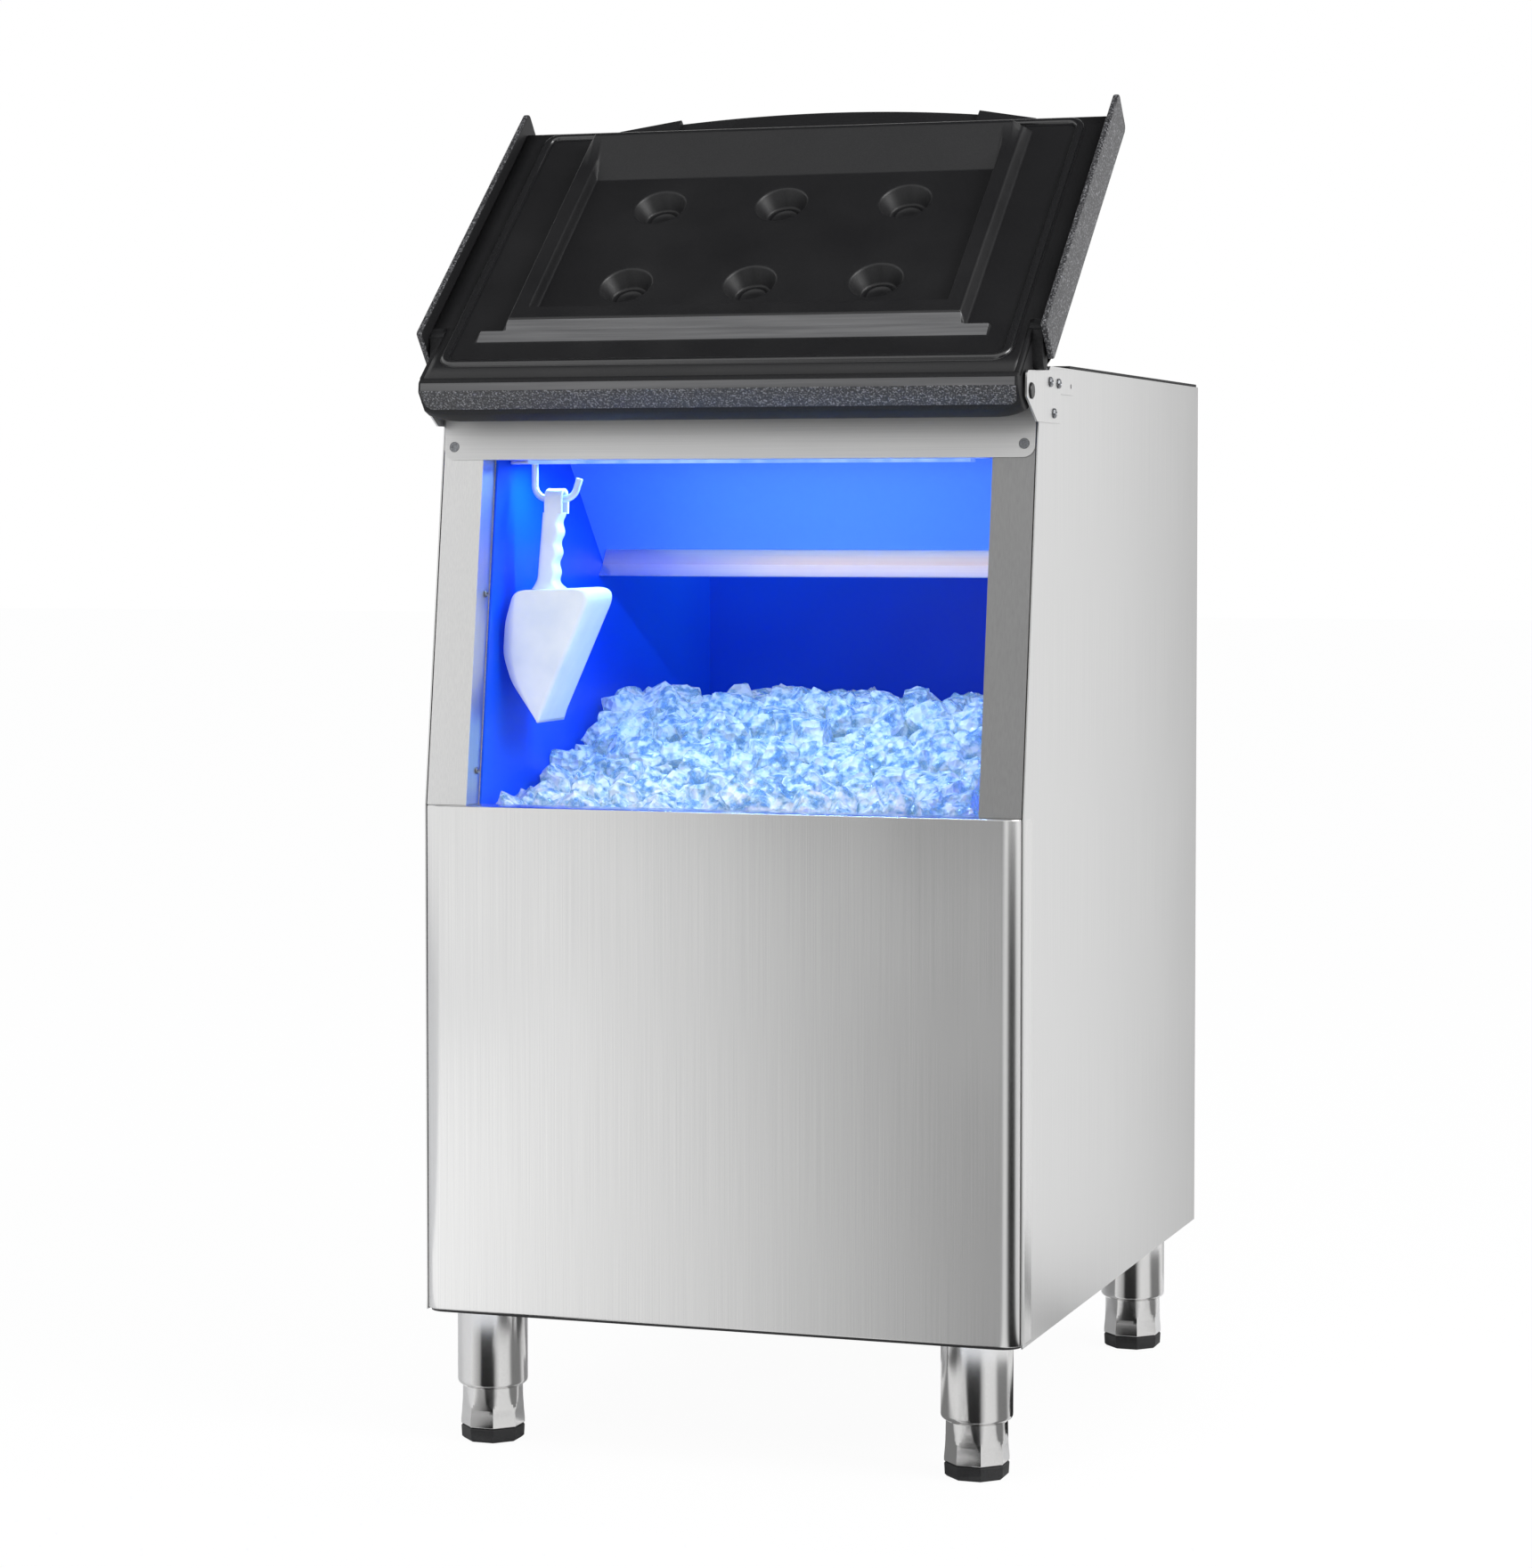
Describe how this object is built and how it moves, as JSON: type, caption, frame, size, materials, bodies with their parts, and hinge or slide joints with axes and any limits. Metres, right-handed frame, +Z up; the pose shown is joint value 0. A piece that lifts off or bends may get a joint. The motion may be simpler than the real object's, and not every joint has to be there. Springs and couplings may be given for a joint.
{
  "type": "ice storage bin",
  "caption": "Stainless ice storage bin with a slanted front opening, swing-up moulded lid, lined store, deflector, hanging scoop and adjustable legs.",
  "frame": {"origin": "centre of the floor area under the feet, at floor height", "axes": "+Z up, -Y towards the user at the slanted opening, +X to the user's right"},
  "size_m": [0.589, 0.699, 1.2313],
  "materials": {
    "case_steel": "vertical brushed grain",
    "leg_steel": "polished, turned",
    "screw_steel": "zinc plated",
    "deflector_steel": "satin",
    "liner_plastic": "smooth blue",
    "lid_plastic": "fine moulded grain, speckled outside",
    "black_rubber": "matt",
    "foam": "rigid foam",
    "white_plastic": "smooth",
    "lens": "frosted, lit blue"
  },
  "bodies": {
    "cabinet": {"side_panel_left": "case_steel", "side_panel_right": "case_steel", "back_panel": "case_steel", "bottom_panel": "case_steel", "front_panel": "case_steel", "bottom_trim": "lid_plastic", "stile_left": "case_steel", "stile_right": "case_steel", "top_rail": "case_steel", "top_frame": "case_steel", "top_gasket": "black_rubber", "liner": "liner_plastic", "foam_left": "foam", "foam_right": "foam", "foam_back": "foam", "foam_bottom": "foam", "foam_front": "foam", "drain_fitting": "white_plastic", "drain_strainer": "leg_steel", "baffle": "deflector_steel", "baffle_lip": "deflector_steel", "led_housing": "white_plastic", "led_lens": "lens", "hinge_bracket_left": "case_steel", "hinge_bracket_right": "case_steel", "bracket_screw_left_1": "screw_steel", "bracket_screw_left_2": "screw_steel", "bracket_screw_left_3": "screw_steel", "bracket_screw_right_1": "screw_steel", "bracket_screw_right_2": "screw_steel", "bracket_screw_right_3": "screw_steel", "rail_screw_left": "screw_steel", "rail_screw_right": "screw_steel", "flange_screw_left_low": "screw_steel", "flange_screw_left_high": "screw_steel", "flange_screw_right_low": "screw_steel", "flange_screw_right_high": "screw_steel", "scoop_hook": "leg_steel", "leg_sleeve_front_left": "leg_steel", "leg_sleeve_front_right": "leg_steel", "leg_sleeve_back_left": "leg_steel", "leg_sleeve_back_right": "leg_steel"},
    "lid": {"lid_shell": "lid_plastic", "lid_inner_panel": "lid_plastic", "lid_foam": "foam", "lid_gasket": "black_rubber", "lid_pivot_left": "lid_plastic", "lid_pivot_right": "lid_plastic"},
    "scoop": {"scoop": "white_plastic"},
    "foot_front_left": {"foot_front_left": "leg_steel", "foot_pad_front_left": "black_rubber"},
    "foot_front_right": {"foot_front_right": "leg_steel", "foot_pad_front_right": "black_rubber"},
    "foot_back_left": {"foot_back_left": "leg_steel", "foot_pad_back_left": "black_rubber"},
    "foot_back_right": {"foot_back_right": "leg_steel", "foot_pad_back_right": "black_rubber"}
  },
  "joints": [
    {"name": "lid_hinge", "type": "hinge", "parent": "cabinet", "child": "lid", "pos_m": [0, -0.31697, 0.95], "axis": [1, 0, 0], "range_deg": [0, 221.8]},
    {"name": "scoop_swing", "type": "hinge", "parent": "cabinet", "child": "scoop", "pos_m": [-0.19255, -0.22847, 0.8583], "axis": [1, 0, 0], "range_deg": [-8, 15]},
    {"name": "foot_front_left_screw", "type": "slide", "parent": "cabinet", "child": "foot_front_left", "axis": [0, 0, -1], "range_m": [0, 0.025]},
    {"name": "foot_front_right_screw", "type": "slide", "parent": "cabinet", "child": "foot_front_right", "axis": [0, 0, -1], "range_m": [0, 0.025]},
    {"name": "foot_back_left_screw", "type": "slide", "parent": "cabinet", "child": "foot_back_left", "axis": [0, 0, -1], "range_m": [0, 0.025]},
    {"name": "foot_back_right_screw", "type": "slide", "parent": "cabinet", "child": "foot_back_right", "axis": [0, 0, -1], "range_m": [0, 0.025]}
  ]
}
